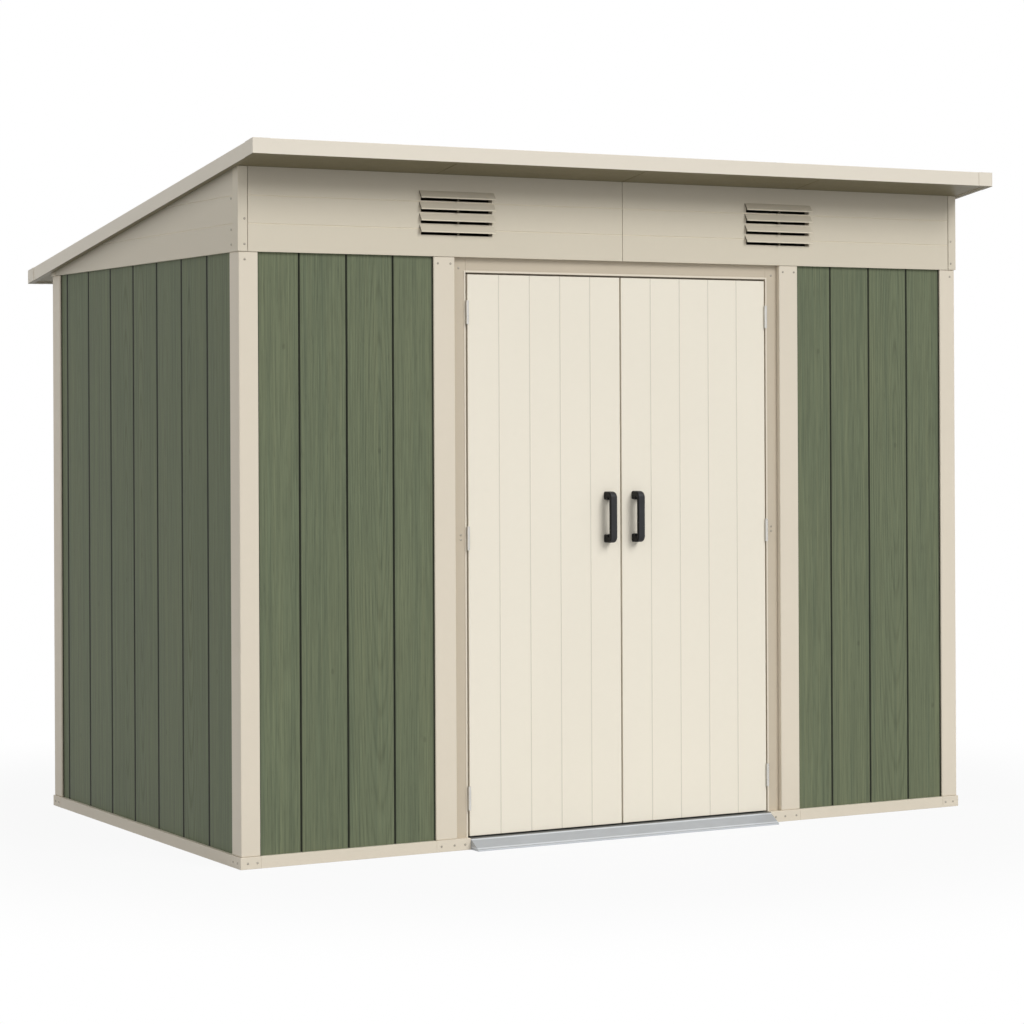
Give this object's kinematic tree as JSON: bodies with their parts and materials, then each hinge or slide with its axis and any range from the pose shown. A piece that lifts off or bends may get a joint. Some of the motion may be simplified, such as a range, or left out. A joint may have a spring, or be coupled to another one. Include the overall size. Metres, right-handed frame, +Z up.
{
  "type": "plastic garden shed",
  "caption": "Pent-roof garden shed with embossed board walls, a vented frieze above the front and a pair of outward-opening doors with pull handles.",
  "frame": {"origin": "centre of the footprint at ground level, under the middle of the shed", "axes": "+X to the right along the front, +Y from the door side to the back, +Z up"},
  "size_m": [2.791, 2.017, 2.2162],
  "materials": {
    "trim_beige": "satin moulded plastic, smooth, warm beige",
    "jamb_beige": "satin moulded plastic, a shade darker than the posts",
    "wall_green": "matte grey-green plastic boards with a pressed wood grain",
    "frieze_beige": "satin moulded plastic with a faint grain",
    "fascia_beige": "satin moulded plastic, pale beige",
    "roof_beige": "satin ribbed plastic sheet",
    "door_cream": "smooth satin cream plastic",
    "handle_black": "semi-gloss black plastic",
    "hinge_steel": "zinc-plated steel",
    "screw_steel": "zinc-plated screw heads",
    "ramp_aluminium": "satin aluminium",
    "sill_grey": "satin grey plastic",
    "floor_grey": "matte grey plastic with a fine texture",
    "rafter_steel": "galvanised steel channel"
  },
  "bodies": {
    "shed": {"floor_panels": "floor_grey", "base_rails_front": "trim_beige", "base_rail_left": "trim_beige", "base_rail_right": "trim_beige", "base_rail_back": "trim_beige", "base_corners": "trim_beige", "door_post_feet": "trim_beige", "door_sill": "sill_grey", "door_ramp": "ramp_aluminium", "corner_post_front_left": "trim_beige", "corner_post_front_right": "trim_beige", "corner_post_back_left": "trim_beige", "corner_post_back_right": "trim_beige", "door_post_left": "trim_beige", "door_post_right": "trim_beige", "door_jambs": "jamb_beige", "door_header": "jamb_beige", "front_wall_left": "wall_green", "front_wall_right": "wall_green", "left_wall": "wall_green", "right_wall": "wall_green", "back_wall_left": "wall_green", "back_wall_right": "wall_green", "frieze_left": "frieze_beige", "frieze_right": "frieze_beige", "gable_left": "frieze_beige", "gable_right": "frieze_beige", "frieze_corners": "frieze_beige", "back_top_rail": "frieze_beige", "vent_louvres_left": "frieze_beige", "vent_louvres_right": "frieze_beige", "roof_panel_1": "roof_beige", "roof_panel_2": "roof_beige", "roof_panel_3": "roof_beige", "roof_panel_4": "roof_beige", "fascia_front": "fascia_beige", "fascia_back": "fascia_beige", "fascia_left": "fascia_beige", "fascia_right": "fascia_beige", "fascia_caps": "fascia_beige", "roof_rafters": "rafter_steel", "frame_hinges": "hinge_steel"},
    "left_door": {"door_leaf_left": "door_cream", "door_ledges_left": "door_cream", "handle_left": "handle_black", "door_hinges_left": "hinge_steel"},
    "right_door": {"door_leaf_right": "door_cream", "door_ledges_right": "door_cream", "handle_right": "handle_black", "door_hinges_right": "hinge_steel"}
  },
  "joints": [
    {"name": "left_door_hinge", "type": "hinge", "parent": "shed", "child": "left_door", "pos_m": [-0.572, -0.822, 0.94], "axis": [0, 0, -1], "range_deg": [0, 150]},
    {"name": "right_door_hinge", "type": "hinge", "parent": "shed", "child": "right_door", "pos_m": [0.572, -0.822, 0.94], "axis": [0, 0, 1], "range_deg": [0, 150]}
  ]
}
